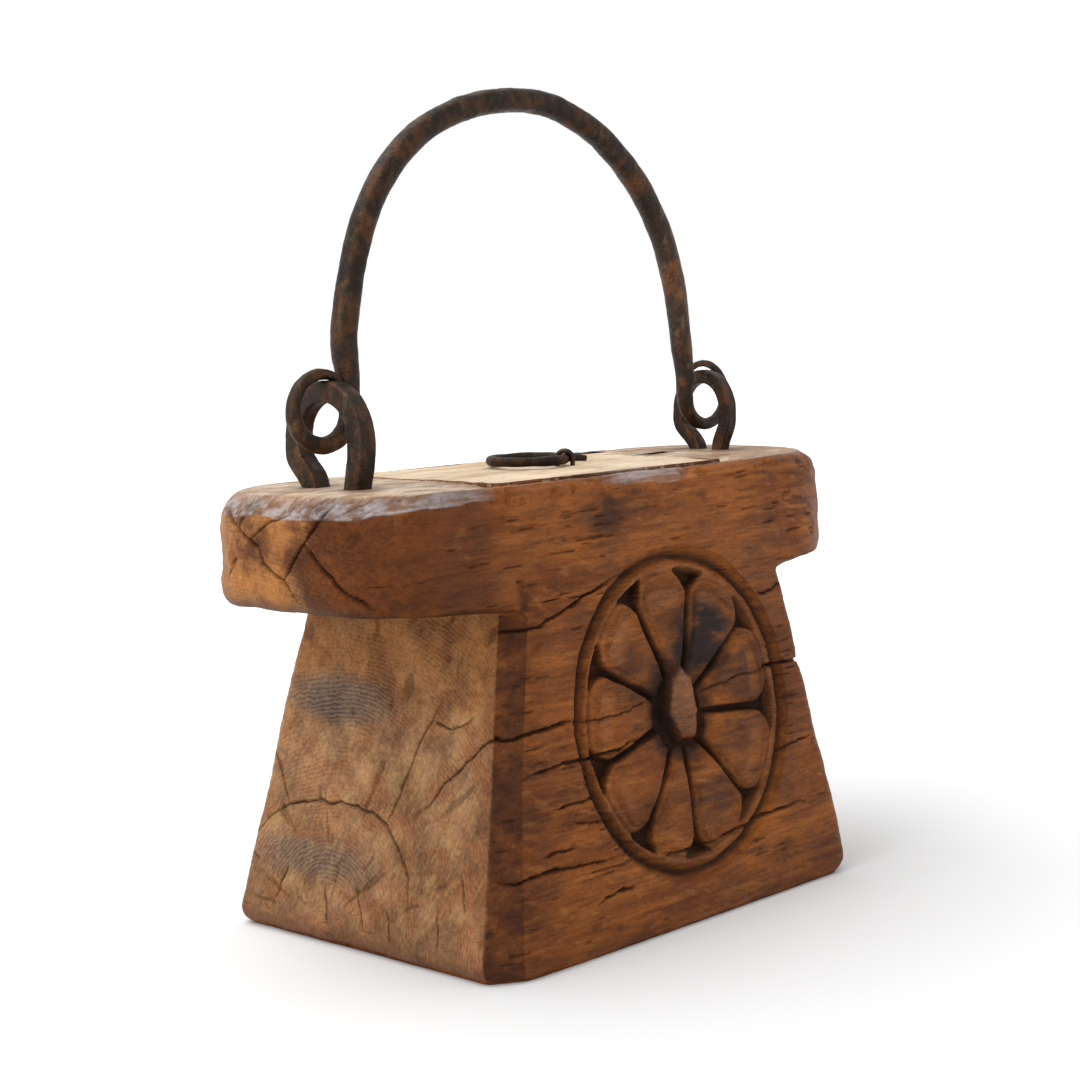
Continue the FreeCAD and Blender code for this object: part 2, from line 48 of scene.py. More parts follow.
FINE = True


# ---------------------------------------------------------------- noise
def lattice(ix, iy, iz, seed):
    """A repeatable value from -1 to 1 at each whole-number lattice point."""
    h = (ix * 374761393 + iy * 668265263 + iz * 1440662683 + seed * 1274126177) & 0xFFFFFFFF
    h = ((h ^ (h >> 13)) * 1103515245) & 0xFFFFFFFF
    h = ((h ^ (h >> 16)) * 668265263) & 0xFFFFFFFF
    return ((h >> 8) & 0xFFFF).astype(np.float32) / 32767.5 - 1


def noise(x, y, z, seed):
    """Smooth value noise, one lattice cell per unit."""
    x, y, z = np.broadcast_arrays(x, y, z)
    fx, fy, fz = np.floor(x), np.floor(y), np.floor(z)
    ix, iy, iz = fx.astype(np.int64), fy.astype(np.int64), fz.astype(np.int64)
    u, v, w = x - fx, y - fy, z - fz
    u, v, w = (t * t * (3 - 2 * t) for t in (u, v, w))
    total = 0
    for dx in (0, 1):
        for dy in (0, 1):
            for dz in (0, 1):
                share = (u if dx else 1 - u) * (v if dy else 1 - v) * (w if dz else 1 - w)
                total = total + share * lattice(ix + dx, iy + dy, iz + dz, seed)
    return total


def fbm(x, y, z, seed, octaves=4, gain=0.5):
    """Noise summed over octaves, each finer and weaker than the last."""
    total, size, weight = 0, 0, 1
    for k in range(octaves):
        f = 2.03 ** k
        total = total + weight * noise(x * f + 7 * k, y * f + 3 * k, z * f + 5 * k, seed + 11 * k)
        size += weight
        weight *= gain
    return total / size


def step(low, high, x):
    """Smooth rise from 0 at low to 1 at high, or a fall when low is above high."""
    t = np.clip((x - low) / (high - low), 0, 1)
    return t * t * (3 - 2 * t)


def bell(x, width):
    """1 at zero, falling to 0 at width."""
    return step(1, 0, np.abs(x) / width)


def spot(u, v, cu, cv, ru, rv, soft=0.5):
    """1 inside an ellipse, fading out over the soft share of its size."""
    return step(1 + soft, 1 - soft, np.hypot((u - cu) / ru, (v - cv) / rv))


def line_distance(u, v, points):
    """Distance to a run of straight segments, and the share of the way along it."""
    best = np.full(u.shape, 1e9, np.float32)
    along = np.zeros(u.shape, np.float32)
    segments = len(points) - 1
    for k, ((au, av), (bu, bv)) in enumerate(zip(points, points[1:])):
        du, dv = bu - au, bv - av
        t = np.clip(((u - au) * du + (v - av) * dv) / (du * du + dv * dv), 0, 1)
        d = np.hypot(u - au - t * du, v - av - t * dv)
        along = np.where(d < best, (k + t) / segments, along)
        best = np.minimum(best, d)
    return best, along


def tint(r, g, b):
    """Linear colour from display values of 0 to 255."""
    c = np.array([r, g, b]) / 255
    return np.where(c < 0.04045, c / 12.92, ((c + 0.055) / 1.055) ** 2.4)


def mix(a, b, t):
    """Blend of two colours by a weight from 0 to 1 at each point."""
    return a + (b - a) * np.asarray(t)[..., None]


# ---------------------------------------------------------------- meshes
def grid_mesh(name, rows, material, caps=True):
    """A mesh from stacked closed loops of points in mm: rows x columns x 3."""
    rows = np.asarray(rows, float)
    n, m = rows.shape[:2]
    verts = rows.reshape(-1, 3) * MM
    i, j = np.meshgrid(np.arange(n - 1), np.arange(m), indexing="ij")
    k = (j + 1) % m
    faces = np.stack([i * m + j, i * m + k, (i + 1) * m + k, (i + 1) * m + j], -1).reshape(-1, 4)
    mesh = bpy.data.meshes.new(name)
    extra = [tuple(range(m - 1, -1, -1)), tuple(range((n - 1) * m, n * m))] if caps else []
    mesh.vertices.add(len(verts))
    mesh.vertices.foreach_set("co", verts.ravel())
    loops = np.concatenate([faces.ravel(), *[np.array(f) for f in extra]])
    sizes = np.concatenate([np.full(len(faces), 4), [len(f) for f in extra]]).astype(int)
    mesh.loops.add(len(loops))
    mesh.loops.foreach_set("vertex_index", loops)
    mesh.polygons.add(len(sizes))
    mesh.polygons.foreach_set("loop_start", np.concatenate([[0], np.cumsum(sizes)[:-1]]))
    mesh.update(calc_edges=True)
    mesh.validate()
    mesh.polygons.foreach_set("use_smooth", np.ones(len(mesh.polygons), bool))
    obj = bpy.data.objects.new(name, mesh)
    bpy.context.scene.collection.objects.link(obj)
    obj.data.materials.append(material)
    return obj


def paint(obj, **values):
    """Stores colours (n x 3) or weights (n) on the vertices for the material to read."""
    for name, value in values.items():
        value = np.asarray(value, np.float32)
        if value.ndim == 2:
            layer = obj.data.attributes.new(name, "FLOAT_COLOR", "POINT")
            full = np.ones((len(value), 4), np.float32)
            full[:, :3] = value
            layer.data.foreach_set("color", full.ravel())
        else:
            layer = obj.data.attributes.new(name, "FLOAT", "POINT")
            layer.data.foreach_set("value", value)


def grid_normals(rows):
    """Outward normals of a closed stack of loops that runs anticlockwise and upwards."""
    du = np.roll(rows, -1, 1) - np.roll(rows, 1, 1)
    dv = np.gradient(rows, axis=0)
    n = np.cross(du, dv)
    return n / np.maximum(np.linalg.norm(n, axis=-1, keepdims=True), 1e-9)


def resample(points, count, ends=False):
    """Evenly spaced points along an open run; the last one is left out unless ends is set."""
    points = np.asarray(points, float)
    seg = np.linalg.norm(np.diff(points, axis=0), axis=1)
    s = np.concatenate([[0], np.cumsum(seg)])
    t = np.linspace(0, s[-1], count, endpoint=ends)
    return np.stack([np.interp(t, s, points[:, k]) for k in range(points.shape[1])], -1)


def smooth_path(points, count):
    """Catmull-Rom curve through control points, evenly spaced."""
    p = np.asarray(points, float)
    p = np.concatenate([[2 * p[0] - p[1]], p, [2 * p[-1] - p[-2]]])
    t = np.linspace(0, 1, 24, endpoint=False)[:, None]
    runs = []
    for a, b, c, d in zip(p, p[1:], p[2:], p[3:]):
        runs.append(0.5 * (2 * b + (c - a) * t + (2 * a - 5 * b + 4 * c - d) * t ** 2
                           + (3 * b - a - 3 * c + d) * t ** 3))
    return resample(np.concatenate(runs + [p[-2:-1]]), count, ends=True)


# ---------------------------------------------------------------- materials
# growth rings, in metres: the heart of the tree runs along x through this point
PITH_Y, PITH_Z = 0.020, 0.006
RING_SPACING = 0.0016


def node_tree(name):
    """A new material with its node tree and its main shader."""
    material = bpy.data.materials.new(name)
    material.use_nodes = True
    tree = material.node_tree
    return material, tree, tree.nodes["Principled BSDF"]


def add(tree, kind, sockets=None, **settings):
    """A node with its settings made and its sockets linked or filled in."""
    node = tree.nodes.new(kind)
    for key, value in settings.items():
        setattr(node, key, value)
    for key, value in (sockets or {}).items():
        if isinstance(value, bpy.types.NodeSocket):
            tree.links.new(value, node.inputs[key])
        else:
            node.inputs[key].default_value = value
    return node


def maths(tree, kind, a, b=0.0):
    """A sum, product or other step of arithmetic on one or two values."""
    return add(tree, "ShaderNodeMath", {0: a, 1: b}, operation=kind).outputs[0]


def ramp(tree, value, low, high, to_low=0.0, to_high=1.0):
    """Straight-line rise from to_low to to_high as the value goes from low to high."""
    node = add(tree, "ShaderNodeMapRange", {"Value": value, "From Min": low, "From Max": high,
                                            "To Min": to_low, "To Max": to_high})
    return node.outputs["Result"]


def grain_noise(tree, scale, stretch, detail=4.0, rough=0.55):
    """Noise in the object's own metres, stretched so that x runs along the grain."""
    coords = add(tree, "ShaderNodeTexCoord").outputs["Object"]
    mapped = add(tree, "ShaderNodeMapping", {"Vector": coords, "Scale": stretch}).outputs[0]
    node = add(tree, "ShaderNodeTexNoise", {"Vector": mapped, "Scale": scale, "Detail": detail,
                                            "Roughness": rough})
    return node.outputs["Fac"]


def multiply_colour(tree, colour, amount):
    """A colour made lighter or darker by an amount."""
    grey = add(tree, "ShaderNodeCombineColor", {0: amount, 1: amount, 2: amount}).outputs[0]
    return add(tree, "ShaderNodeMix", {0: 1.0, 6: colour, 7: grey},
               data_type="RGBA", blend_type="MULTIPLY").outputs[2]


def wood_material(name, fine, rings, roughness, bump):
    """Wood whose colour comes from the mesh, with grain, specks and growth rings added.

    fine and rings are how strongly grain and rings show; bump is the relief in metres.
    """
    material, tree, shader = node_tree(name)
    colour = add(tree, "ShaderNodeAttribute", attribute_name="Tone").outputs["Color"]
    streak = grain_noise(tree, 620.0, (0.10, 1.0, 1.0), 6.0, 0.68)
    speck = grain_noise(tree, 1900.0, (0.3, 1.0, 1.0), 3.0, 0.7)
    blotch = grain_noise(tree, 60.0, (0.5, 1.0, 1.0), 5.0, 0.6)
    coords = add(tree, "ShaderNodeTexCoord").outputs["Object"]
    warp = add(tree, "ShaderNodeTexNoise", {"Vector": coords, "Scale": 22.0, "Detail": 3.0})
    parts = add(tree, "ShaderNodeSeparateXYZ", {"Vector": coords}).outputs
    shift = ramp(tree, warp.outputs["Fac"], 0.0, 1.0, -0.0035, 0.0035)
    from_pith = [maths(tree, "ADD", maths(tree, "SUBTRACT", parts[axis], place), shift)
                 for axis, place in ((1, PITH_Y), (2, PITH_Z))]
    radius = maths(tree, "SQRT", maths(tree, "ADD", *[maths(tree, "MULTIPLY", d, d) for d in from_pith]))
    uneven = maths(tree, "MULTIPLY", grain_noise(tree, 260.0, (0.3, 1.0, 1.0), 2.0), 9.0)
    wave = maths(tree, "SINE", maths(tree, "ADD", uneven, maths(tree, "MULTIPLY", radius,
                                                                2 * math.pi / RING_SPACING)))
    ring_weight = add(tree, "ShaderNodeAttribute", attribute_name="Rings").outputs["Fac"]
    ring = maths(tree, "MULTIPLY", maths(tree, "MULTIPLY", wave, ring_weight), rings)
    tone = maths(tree, "ADD", ramp(tree, streak, 0.3, 0.7, 1 - fine, 1 + fine),
                 ramp(tree, speck, 0.3, 0.7, -fine * 0.6, fine * 0.6))
    tone = maths(tree, "ADD", tone, ramp(tree, blotch, 0.3, 0.7, -fine * 0.8, fine * 0.8))
    tone = maths(tree, "ADD", tone, ring)
    tree.links.new(multiply_colour(tree, colour, tone), shader.inputs["Base Color"])
    rough = ramp(tree, blotch, 0.3, 0.7, roughness - 0.09, roughness + 0.09)
    tree.links.new(rough, shader.inputs["Roughness"])
    height = maths(tree, "ADD", maths(tree, "MULTIPLY", streak, 0.7),
                   maths(tree, "ADD", maths(tree, "MULTIPLY", speck, 0.4),
                         maths(tree, "MULTIPLY", ring, 0.6)))
    relief = add(tree, "ShaderNodeBump", {"Height": height, "Strength": 0.7, "Distance": bump})
    tree.links.new(relief.outputs[0], shader.inputs["Normal"])
    shader.inputs["Specular IOR Level"].default_value = 0.12
    return material


def iron_material(name):
    """Forged iron whose colour comes from the mesh, with rust patches and pits."""
    material, tree, shader = node_tree(name)
    colour = add(tree, "ShaderNodeAttribute", attribute_name="Tone").outputs["Color"]
    patch = grain_noise(tree, 130.0, (1.0, 1.0, 1.0), 6.0, 0.65)
    pit = grain_noise(tree, 900.0, (1.0, 1.0, 1.0), 4.0, 0.6)
    tone = maths(tree, "ADD", ramp(tree, patch, 0.3, 0.7, 0.72, 1.28),
                 ramp(tree, pit, 0.3, 0.7, -0.22, 0.22))
    tree.links.new(multiply_colour(tree, colour, tone), shader.inputs["Base Color"])
    shader.inputs["Metallic"].default_value = 0.9
    tree.links.new(ramp(tree, patch, 0.35, 0.65, 0.4, 0.62), shader.inputs["Roughness"])
    height = maths(tree, "ADD", patch, maths(tree, "MULTIPLY", pit, 0.35))
    relief = add(tree, "ShaderNodeBump", {"Height": height, "Strength": 0.7, "Distance": 0.0016})
    tree.links.new(relief.outputs[0], shader.inputs["Normal"])
    return material


block_wood = wood_material("block_wood", fine=0.36, rings=0.24, roughness=0.46, bump=0.0024)
lid_wood = wood_material("lid_wood", fine=0.13, rings=0.08, roughness=0.75, bump=0.0016)
forged_iron = iron_material("forged_iron")

# ---------------------------------------------------------------- block
# sizes in mm; slopes are mm inward for each mm of height
BASE_HALF_LENGTH = 106.5
BASE_HALF_DEPTH = 73.5
END_SLOPE = 0.2077
FRONT_SLOPE = 0.119
BACK_SLOPE = 0.1577
NECK = 128.0
TOP = 174.0
HEAD_HALF = 146.3
STAPLE_X = 107.5
STRIP_WIDE = 15
NECK_HALF = BASE_HALF_LENGTH - END_SLOPE * NECK
CAVITY_FLOOR = 26.0
SEAT = 160.3
# opening of the lid seat, then of the cavity: right, left, front and back of the origin
RIM = (57.6, 70.6, 44.7, 38.7)
LEDGE = (50, 63, 37, 31)
RIM_CORNERS = (2, 2, 2, 2)
CORNER_POINTS = 24


def corner(cx, cy, radius, start):
    """A quarter circle from the start angle in degrees."""
    angle = np.radians(np.linspace(start, start + 90, CORNER_POINTS))
    return np.stack([cx + radius * np.cos(angle), cy + radius * np.sin(angle)], -1)


def flat_corner(left, front, along_y, along_x):
    """The near left corner taken off by a flat, in place of a quarter circle."""
    run = [(-left, -front + along_y + 2), (-left + 0.6, -front + along_y - 0.4),
           (-left + along_x - 2.5, -front + 1.0), (-left + along_x + 4.5, -front)]
    return resample(run, CORNER_POINTS, ends=True)


def outline(right, left, front, back, radii, split=None, flat=None):
    """Closed outline as four runs: front, right, back and left. radii: FR, BR, BL, FL.

    The runs meet half way round the corners, or at x = -split and +split when that is given.
    """
    fr, br, bl, fl = radii
    arcs = [corner(right - fr, -front + fr, fr, -90), corner(right - br, back - br, br, 0),
            corner(-left + bl, back - bl, bl, 90),
            flat_corner(left, front, *flat) if flat else corner(-left + fl, -front + fl, fl, 180)]
    if split is None:
        h = CORNER_POINTS // 2
        return [np.concatenate([arcs[k - 1][h:], arcs[k][:h + 1]]) for k in range(4)]
    f, b = -front, back
    return [np.array([[-split, f], [split, f]]),
            np.concatenate([[[split, f]], arcs[0], arcs[1], [[split, b]]]),
            np.array([[split, b], [-split, b]]),
            np.concatenate([[[-split, b]], arcs[2], arcs[3], [[-split, f]]])]


# columns on the front, right, back and left, and the share of the full number of rows
COLUMNS = [420, 210, 210, 330] if FINE else [210, 110, 110, 165]
ROW_SHARE = 1.0 if FINE else 0.5


def loop_of(runs):
    """One loop of the block's mesh from its four runs."""
    return np.concatenate([resample(run, count) for run, count in zip(runs, COLUMNS)])


def foot_loop(z):
    """The foot's outline at a height, its near left corner taken off by a flat."""
    half = BASE_HALF_LENGTH - END_SLOPE * z
    bow = 1.2 * np.sin(np.pi * np.clip(z / NECK, 0, 1))
    wide = 1 + 0.25 * step(70, 0, z)
    return loop_of(outline(half + bow, half + bow * 0.6, BASE_HALF_DEPTH - FRONT_SLOPE * z,
                           BASE_HALF_DEPTH - BACK_SLOPE * z, (9 - 0.02 * z, 6, 6, 8),
                           flat=(7.5 * wide, 12.5 * wide)))


def head_loop(z, end_inset, side_inset):
    """The head's outline at a height, drawn in at its ends and sides."""
    front = BASE_HALF_DEPTH - FRONT_SLOPE * z - side_inset
    back = BASE_HALF_DEPTH - BACK_SLOPE * z - side_inset
    r = max(end_inset * 0.6, 0)
    return loop_of(outline(HEAD_HALF - 2 - end_inset, HEAD_HALF - end_inset, front, back,
                           (52 - r, 40 - r, 42 - r, 38 - r), split=NECK_HALF))


def level(loop, z):
    """A flat loop lifted to a height."""
    return np.concatenate([loop, np.full((len(loop), 1), float(z))], 1)


END_ROUND, SIDE_ROUND, FOOT_ROUND = 7.5, 4.0, 8.0
OVERHANG, HEAD_UNDER = 11.0, 131.4
UNDER_ROUND, UNDER_INSET = 9.2, 1.8
WORN_FROM, WORN_END, WORN_SIDE = 164.4, 8.5, 4.2


def rounded_foot(a, z):
    """The foot's outline near the floor, drawn in by the rounding of its lower edge."""
    loop = foot_loop(z)
    half = np.abs(loop).max(0)
    draw = 1 - np.array([END_ROUND, SIDE_ROUND]) * (1 - math.sin(a)) / half
    return loop * draw


def spread(low, high, full_count):
    return np.linspace(low, high, max(3, int(full_count * ROW_SHARE)))


def block_rows():
    """Loops from the middle of the underside, up the outside, over the rim and down the cavity.

    Also gives the number of loops before the first one inside the seat.
    """
    rows = [level(rounded_foot(0, 0) * s, 0) for s in spread(0.03, 0.985, 16)]
    for a in spread(0, math.pi / 2, 20):
        z = FOOT_ROUND * (1 - math.cos(a))
        rows.append(level(rounded_foot(a, z), z))
    rows += [level(foot_loop(z), z) for z in spread(8.6, NECK, 210)]
    under_out, under_in = head_loop(133, OVERHANG, 0), foot_loop(NECK)
    for t in spread(0, 1, 64)[1:]:
        rows.append(level(under_in + (under_out - under_in) * t, NECK + 0.4 * t + 3.0 * t ** 2))
    for a in spread(0, math.pi / 2, 18)[1:]:
        z = HEAD_UNDER + OVERHANG * (1 - math.cos(a))
        rows.append(level(head_loop(z, OVERHANG - UNDER_ROUND * math.sin(a), 0), z))
    side_from = HEAD_UNDER + OVERHANG
    for t in spread(0, 1, 44)[1:]:
        z = side_from + (WORN_FROM - side_from) * t
        rows.append(level(head_loop(z, UNDER_INSET * (1 - t), 0), z))
    for t in spread(0, 1, 24)[1:]:
        z = WORN_FROM + (TOP - WORN_FROM) * t ** 0.8
        rows.append(level(head_loop(z, WORN_END * t ** 1.5, WORN_SIDE * t ** 2.4), z))
    rim_out = head_loop(TOP, WORN_END, WORN_SIDE)
    rim, ledge = loop_of(outline(*RIM, RIM_CORNERS)), loop_of(outline(*LEDGE, RIM_CORNERS))
    rows += [level(rim_out + (rim - rim_out) * t, TOP) for t in spread(0, 1, 92)[1:]]
    outside = len(rows)
    rows += [level(rim, z) for z in spread(TOP, SEAT + 0.1, 16)[1:]]
    rows += [level(rim + (ledge - rim) * t, SEAT) for t in spread(0, 1, 8)[1:]]
    rows += [level(ledge, z) for z in spread(SEAT - 0.3, CAVITY_FLOOR + 0.2, 60)[1:]]
    centre = np.array([(LEDGE[0] - LEDGE[1]) / 2, (LEDGE[3] - LEDGE[2]) / 2])
    rows += [level(ledge + (centre - ledge) * t, CAVITY_FLOOR) for t in spread(0, 0.96, 14)[1:]]
    return np.array(rows), outside


rows, outside_rows = block_rows()
shape = rows.shape[:2]
normal = grid_normals(rows)
X, Y, Z = rows[..., 0], rows[..., 1], rows[..., 2]
# the front and back run on without a break from foot to head, so their direction is set here
for facing, slope in ((-1, FRONT_SLOPE), (1, BACK_SLOPE)):
    wall = (np.abs(X) < 77) & (Y * facing > 40) & (Z > 100) & (Z < 160) & ((X > -60) | (Z > 127))
    wall[outside_rows:] = False
    normal[wall] = np.array([0, facing, slope]) / math.hypot(1, slope)
NX, NY, NZ = normal[..., 0], normal[..., 1], normal[..., 2]
outer = np.ones(shape)
outer[outside_rows:] = 0
front = step(0.55, 0.85, -NY) * outer
left_end = step(0.45, 0.8, -NX) * outer * (Z < NECK + 1)
head = step(NECK - 1, NECK + 6, Z)
above = step(0.75, 0.93, NZ) * outer * (Z > 165)
side = outer * (1 - above)
A = -Y
FLAT = 0 * X

# carved flower: r and theta run round its centre, phase from -1 to 1 across each petal
FLOWER_X, FLOWER_Z = 10.0, 80.0
DISC, CARVED, GROOVE, GROOVE_HALF, PETAL = 57.0, 66.0, 60.2, 3.7, 54.3
SPOKES = [38, 78, 115, 153, 195, 236, 269, 310, 355]
r = np.hypot(X - FLOWER_X, Z - FLOWER_Z)
theta = np.degrees(np.arctan2(Z - FLOWER_Z, X - FLOWER_X)) % 360
wobble = noise(X / 9, Z / 9, FLAT, 5) * 2.2
spoke_gap = np.full(shape, 1e9)
phase = np.zeros(shape)
for spoke_at, following in zip(SPOKES, SPOKES[1:] + [SPOKES[0] + 360]):
    turn = (theta - spoke_at) % 360
    width = following - spoke_at
    phase = np.where(turn < width, (turn / width) * 2 - 1, phase)
    spoke_gap = np.minimum(spoke_gap, np.minimum(turn, 360 - turn))
arc = r * np.radians(spoke_gap) + 0.35 * wobble * (r / 60)
disc = step(DISC + 0.5, DISC - 0.5, r)
groove = np.clip(1 - np.abs(r - GROOVE - 0.2 * wobble) / GROOVE_HALF, 0, 1) ** 0.7
petal_end = PETAL - 11.5 * (np.clip(np.abs(phase) - 0.42, 0, 1) / 0.58) ** 2 + 0.3 * wobble
notch_in = step(-0.3, 0.6, r - petal_end) * step(56.2, 55.2, r) * step(0.45, 0.62, np.abs(phase))
spoke = np.clip(1 - arc / (1.25 + 0.012 * r), 0, 1) * step(10, 15, r) * step(55, 50, r)
moat = step(7.5, 9.5, r + wobble * 0.5) * step(17.5, 12.5, r + 1.4 * wobble)
BOSS_FACETS = (0.2, 1.15, 1.9, 2.8, 3.9, 4.75, 5.6)
boss_r = np.max([(X - 9.8) / 0.74 * math.cos(a) + (Z - 83.5) / 1.3 * math.sin(a)
                 for a in BOSS_FACETS], axis=0) + 0.5 * wobble
boss = step(11.8, 10.4, boss_r)
pad_edge = np.minimum(arc, np.clip(petal_end - r, 0, 99))
pad = step(0.5, 3.6, pad_edge) * step(13, 24, r)
crescent = (step(-5, -1, r - 46 - 3 * noise(theta / 50, FLAT, FLAT, 23)) * step(3.5, 2, r - 46)
            * step(0.75, 0.5, np.abs(phase)))
facet = noise(X / 14, Z / 14, FLAT, 21)
bowl = disc * (2.3 + 0.7 * facet - 2.0 * pad + 1.3 * crescent * pad + 1.4 * step(34, 14, r))
depth = np.maximum.reduce([
    4.2 * groove,
    disc * 6.2 * notch_in,
    disc * (4.4 * spoke + bowl * (spoke > 0)),
    disc * 6.5 * moat,
    bowl,
])
knob = -0.6 + 0.28 * np.clip(boss_r - 3.5, 0, 9) + 0.5 * noise(X / 4, Z / 6, FLAT, 8)
depth = depth * (1 - boss) + boss * knob
ridge = step(1.8, 0.4, np.abs(r - 56.1)) * 0.5
carved = front * (r < CARVED)
carve = carved * (depth - ridge)

# long cracks, each with its half width, its depth and its course, and short drying checks
FRONT_CRACKS = [
    (0.9, 2.6, [(-110, 83), (-84, 85), (-66, 86), (-53, 87)]),
    (1.0, 3.0, [(56, 89), (68, 91), (78, 90), (100, 92)]),
    (0.5, 1.0, [(-55, 86), (-30, 85), (-8, 88)]),
    (0.5, 1.0, [(22, 86), (40, 89), (58, 90)]),
    (0.8, 2.4, [(-82, 70), (-60, 73), (-40, 72), (-13, 75)]),
    (0.7, 2.2, [(-100, 119), (-82, 122), (-65, 122), (-52, 127), (-40, 130), (-15, 138)]),
    (0.6, 1.6, [(60, 120), (70, 121), (80, 124)]),
    (0.7, 2.0, [(-99, 35), (-70, 36), (-42, 34)]),
    (0.7, 2.0, [(-77, 42), (-60, 42)]),
    (0.8, 2.2, [(-17, 29), (8, 28), (35, 30), (55, 33), (77, 34)]),
    (0.6, 1.6, [(-52, 20), (-38, 22), (-30, 21)]),
    (0.6, 1.8, [(-70, 57), (-52, 58), (-44, 57)]),
    (0.6, 1.6, [(62, 55), (73, 57), (86, 59)]),
    (0.5, 1.4, [(-60, 50), (-44, 49)]),
]
END_CRACKS = [
    (0.55, 1.8, [(-64, 36), (-58, 43), (-48, 49), (-34, 52), (-21, 53), (-10, 53), (1, 51), (8, 48),
                 (15, 41), (19, 36), (22, 28), (24, 11)]),
    (0.6, 2.0, [(7, 49), (13, 62), (20, 80), (29, 96)]),
    (0.4, 1.2, [(25, 88), (35, 86), (46, 92)]),
    (0.55, 1.8, [(22, 52), (34, 66), (46, 77), (54, 84), (62, 84)]),
    (0.5, 1.5, [(-63, 71), (-55, 62), (-48, 50)]),
    (0.45, 1.2, [(-22, 22), (-19, 8)]),
    (0.45, 1.2, [(-5, 24), (1, 10)]),
    (0.45, 1.2, [(38, 24), (40, 10)]),
    (0.4, 1.0, [(-44, 26), (-50, 12)]),
    (0.4, 1.0, [(12, 20), (16, 7)]),
    (0.4, 1.0, [(48, 38), (52, 24)]),
]
HEAD_LEFT_CRACKS = [
    (0.8, 2.4, [(32, 173), (30, 167), (23, 158), (16, 150), (10, 143)]),
    (0.75, 2.2, [(23, 158), (29, 151), (33, 147), (39, 140), (47, 134)]),
    (0.7, 2.2, [(-24, 171), (-12, 163), (0, 156), (1, 150), (11, 144), (16, 138)]),
    (0.5, 1.5, [(-2, 172), (-8, 165), (-12, 160)]),
    (0.5, 1.5, [(20, 172), (8, 166), (-4, 158)]),
    (0.5, 1.4, [(-14, 152), (-22, 142)]),
]
jitter = 0.8 * fbm(X / 4, Y / 4, Z / 4, 31, 3)
sway = fbm(X / 6, Y / 6, Z / 6, 32, 3)


def cut(cracks, u, v, where):
    """Depth in mm and darkness of a family of cracks, each of them fading at its ends."""
    sunk, dark = np.zeros(shape), np.zeros(shape)
    for width, deep, points in cracks:
        d, along = line_distance(u + jitter, v + 1.5 * sway, points)
        fade = np.clip(np.sin(np.pi * np.clip(along, 0.04, 0.96)) * 2.2, 0, 1)
        w = 0.72 * width * (0.4 + 0.6 * fade) * np.clip(0.9 + 0.8 * jitter, 0.5, 1.5)
        mark = step(1.5, 0.4, d / np.maximum(w, 0.32)) * where * fade
        sunk = np.maximum(sunk, deep * mark)
        dark = np.maximum(dark, mark)
    return sunk, dark


families = [cut(FRONT_CRACKS, X, Z, front), cut(END_CRACKS, A, Z, left_end),
            cut(HEAD_LEFT_CRACKS, A, Z, step(0.35, 0.7, -NX) * (Z > 131) * outer)]
sink, crack = (np.maximum.reduce(kind) for kind in zip(*families))
check = fbm(X / 15, Y / 7, (Z - 0.05 * X) / 1.0, 41, 2)
patchy = fbm(X / 34, Y / 34, Z / 17, 42, 2)
checks = step(0.5, 0.66, check + 0.25 * patchy) * side * step(0.5, 0.9, np.abs(NY))
checks = checks * (1 - 0.7 * (r < DISC) * front)
sink = np.maximum(sink, 0.7 * checks)
crack = np.maximum(crack, 0.6 * checks)
radial = np.degrees(np.arctan2(Z - 8, A + 20))
tiny = fbm(radial / 3.4, np.hypot(Z - 8, A + 20) / 16, FLAT, 43, 2)
end_checks = step(0.5, 0.66, tiny) * step(0.5, 0.85, np.abs(NX)) * side
sink = np.maximum(sink, 0.55 * end_checks)
crack = np.maximum(crack, 0.45 * end_checks)

# hewn surface: broad hollows, tool facets and a little fuzz
hewn = 1.1 * fbm(X / 42, Y / 34, Z / 30, 51, 2) + 0.42 * fbm(X / 15, Y / 11, Z / 8, 52, 2)
fuzz = 0.2 * fbm(X / 5, Y / 2.2, Z / 1.6, 53, 3) + 0.22 * np.abs(fbm(X / 9, Y / 9, Z / 4, 55, 2))
head_facets = 0.9 * np.abs(noise(X / 17, Y / 13, Z / 15, 54)) * head * (np.abs(X) > 78)
move = (hewn + fuzz) * side * 0.9 - head_facets * side - 0.3

# the flattened near corner of the foot, and the stop where it runs out into the head
strip = step(0.2, 0.4, -NX) * step(0.97, 0.9, -NX) * step(0.3, 0.5, -NY) * (Z < NECK) * (Y < 0) * (X < 0)
stop = front * bell(X + 70.5, 6.5) * step(125, 130, Z) * step(141, 137, Z + 0.35 * (X + 70))
strip = np.maximum(strip, 0.9 * stop)

# top: hollows, a dip worn along the front of the lid, checks and two empty mortises
top_hollow = above * (0.5 + 0.5 * fbm(X / 25, Y / 25, FLAT, 61, 3)) * 0.7
dish = above * 1.4 * step(-24, -44, Y) * step(95, 70, np.abs(X + 6))
top_checks = step(0.5, 0.64, fbm(X / 30, Y / 1.5, FLAT, 62, 2)) * above * 0.6
MORTISE_DEEP = 9
mortises = np.zeros(shape)
mortise_shade = np.zeros(shape)
for mortise_x, mortise_y in ((79, 7), (69, 37)):
    from_side = np.maximum(np.abs(X - mortise_x) - 8.4, np.abs(Y - mortise_y) - 3.2)
    mortises = np.maximum(mortises, step(0.2, -0.8, from_side) * above)
    mortise_shade = np.maximum(mortise_shade, step(1.1, 0.4, from_side) * above)

